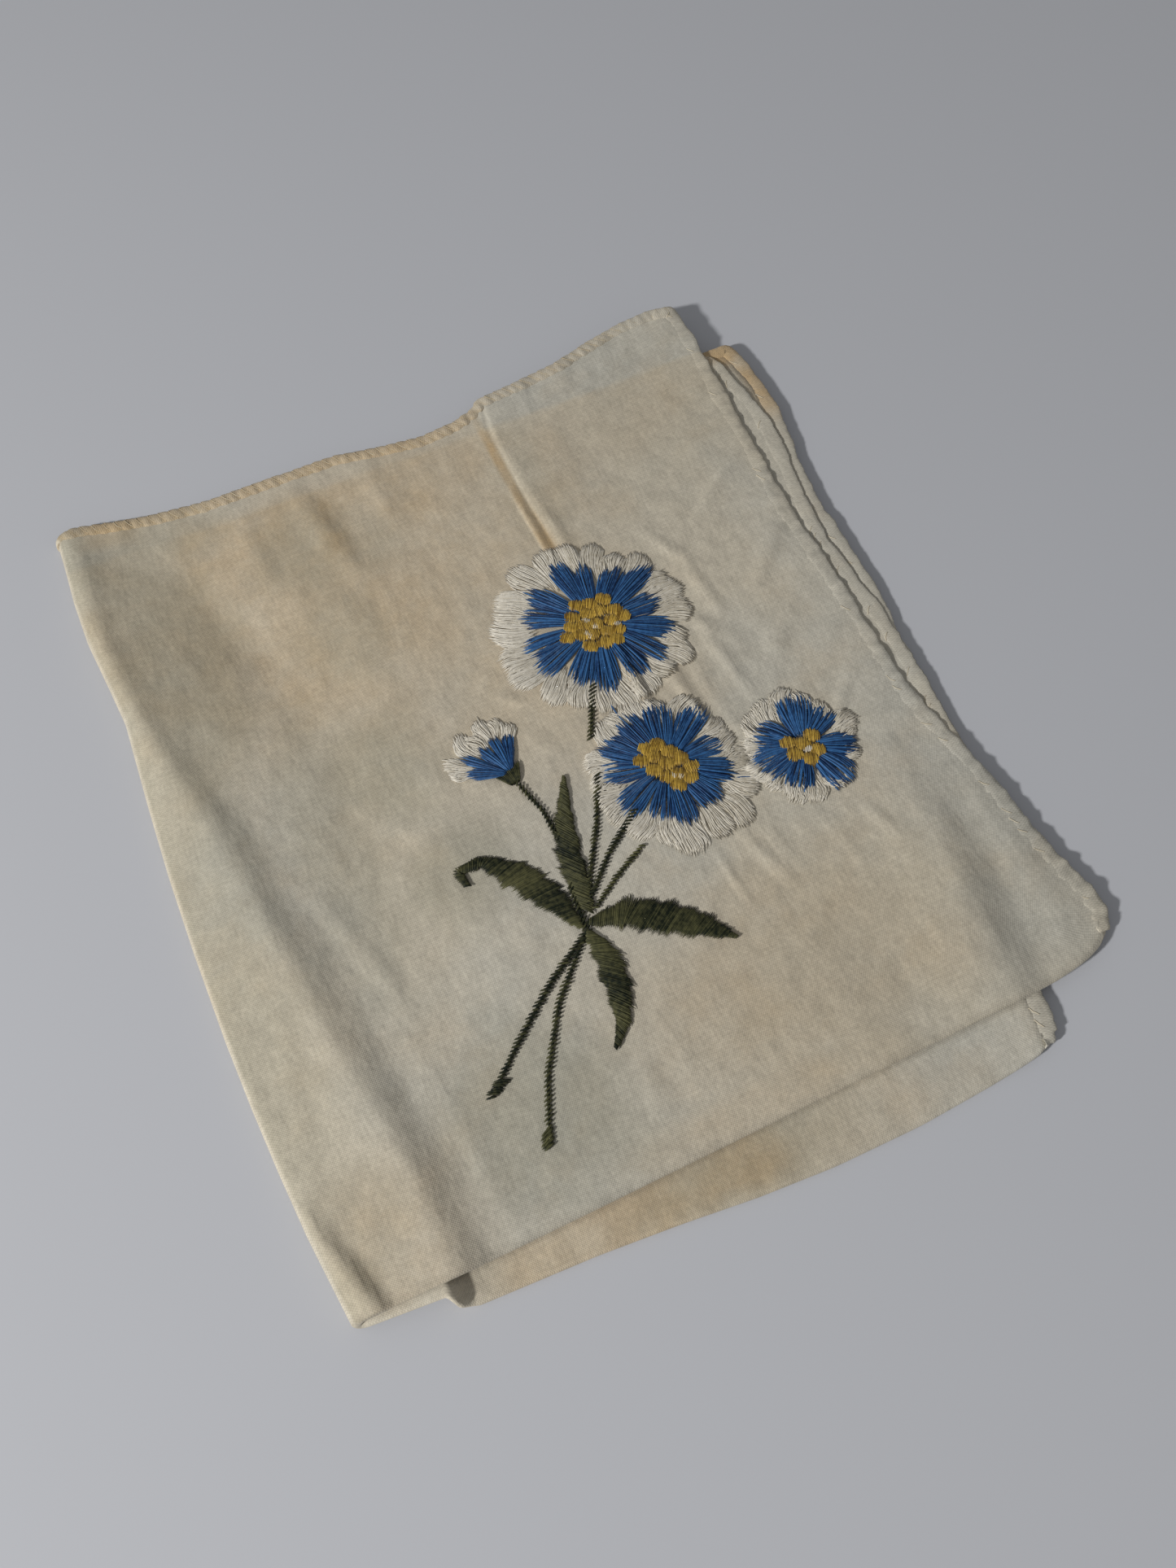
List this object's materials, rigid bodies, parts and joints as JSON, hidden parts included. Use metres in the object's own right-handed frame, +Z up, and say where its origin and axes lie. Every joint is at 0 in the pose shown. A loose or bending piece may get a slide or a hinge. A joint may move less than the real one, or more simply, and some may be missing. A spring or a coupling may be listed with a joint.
{
  "type": "handkerchief",
  "caption": "Folded linen handkerchief: one thin hemmed sheet doubled over into an uneven flat pack, with a soft roll beside its last fold.",
  "frame": {"origin": "centre of the footprint, on the surface the cloth rests on", "axes": "+Z up from that surface, +Y along the last fold towards the free hems, +X across from the last fold to the free hems"},
  "size_m": [0.1347, 0.1573, 0.007],
  "materials": {
    "aged_linen": "soft matt plain weave, aged cream with yellowed blotches",
    "blue_thread": "soft sheen of stranded embroidery cotton",
    "yellow_thread": "soft sheen of stranded embroidery cotton",
    "white_thread": "silky, slightly aged white",
    "green_thread": "soft sheen, shaded from dark green to olive"
  },
  "bodies": {
    "root": {"handkerchief": "aged_linen"}
  },
  "joints": []
}
